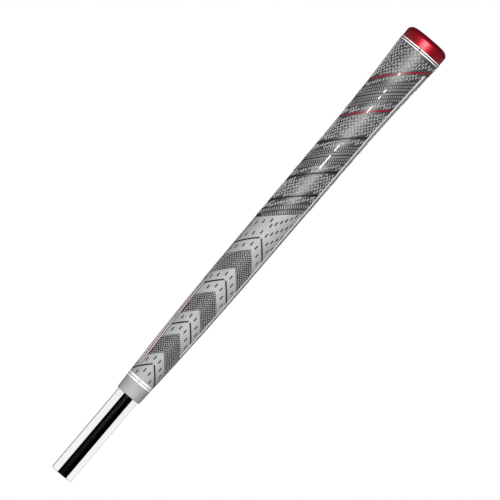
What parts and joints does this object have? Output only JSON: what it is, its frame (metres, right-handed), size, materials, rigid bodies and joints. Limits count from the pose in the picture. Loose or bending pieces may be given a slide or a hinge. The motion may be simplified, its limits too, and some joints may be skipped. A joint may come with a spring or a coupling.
{
  "type": "golf grip",
  "caption": "Tapered rubber golf grip with slanting bands of cord and ribbed rubber above, grey chevron rubber below and a red butt cap, on a steel shaft end.",
  "frame": {"origin": "centre of the exposed shaft's lower end", "axes": "+Z along the shaft towards the butt cap; the front of the grip, where the chevrons point up and the centre dashes run, faces -Y"},
  "size_m": [0.0282, 0.0282, 0.3306],
  "materials": {
    "shaft_chrome": "polished chrome plate",
    "tape_paper": "matte paper tape",
    "core_rubber": "matte",
    "cap_red": "glossy, slightly metallic",
    "grey_rubber": "soft matte",
    "black_rubber": "matte",
    "ribbed_rubber": "fine moulded ribs, matte",
    "cord": "rubber with woven cord flecks",
    "white_paint": "satin paint fill",
    "red_paint": "satin paint fill",
    "dark_red_paint": "satin paint fill"
  },
  "bodies": {
    "shaft": {"shaft_tube": "shaft_chrome", "grip_tape": "tape_paper"},
    "grip": {"core_sleeve": "core_rubber", "end_cap": "cap_red", "mouth_collar": "grey_rubber", "cap_ring_upper": "white_paint", "cap_ring_spacer": "black_rubber", "cap_ring_lower": "white_paint", "mouth_ring_lower": "white_paint", "mouth_ring_spacer": "grey_rubber", "mouth_ring_upper": "white_paint", "side_stripe_right_white_inner": "white_paint", "side_stripe_right_red": "dark_red_paint", "side_stripe_right_white_outer": "white_paint", "side_stripe_left_red_inner": "dark_red_paint", "side_stripe_left_white_inner": "white_paint", "side_stripe_left_white_outer": "white_paint", "side_stripe_left_red_outer": "dark_red_paint", "centre_dashes": "white_paint", "cord_panel_1": "cord", "red_line_upper": "red_paint", "cord_strip_1": "cord", "ribbed_band_1": "ribbed_rubber", "wrap_seam_1": "black_rubber", "ribbed_band_2": "ribbed_rubber", "cord_strip_2": "cord", "red_line_lower": "red_paint", "cord_panel_2": "cord", "black_line_upper": "black_rubber", "cord_strip_3": "cord", "ribbed_band_3": "ribbed_rubber", "wrap_seam_2": "black_rubber", "ribbed_band_4": "ribbed_rubber", "cord_strip_4": "cord", "black_line_lower": "black_rubber", "cord_panel_3": "cord", "black_line_last": "black_rubber", "cord_strip_5": "cord", "ribbed_band_5": "ribbed_rubber", "chevron_front_1": "ribbed_rubber", "chevron_back_1": "ribbed_rubber", "chevron_front_2": "ribbed_rubber", "chevron_back_2": "ribbed_rubber", "chevron_front_3": "ribbed_rubber", "chevron_back_3": "ribbed_rubber", "chevron_line_1": "black_rubber", "chevron_line_2": "black_rubber", "chevron_line_3": "black_rubber", "chevron_line_4": "black_rubber", "lower_sleeve": "grey_rubber"}
  },
  "joints": [
    {"name": "grip_slide", "type": "slide", "parent": "shaft", "child": "grip", "axis": [0, 0, 1], "range_m": [0, 0.28]}
  ]
}
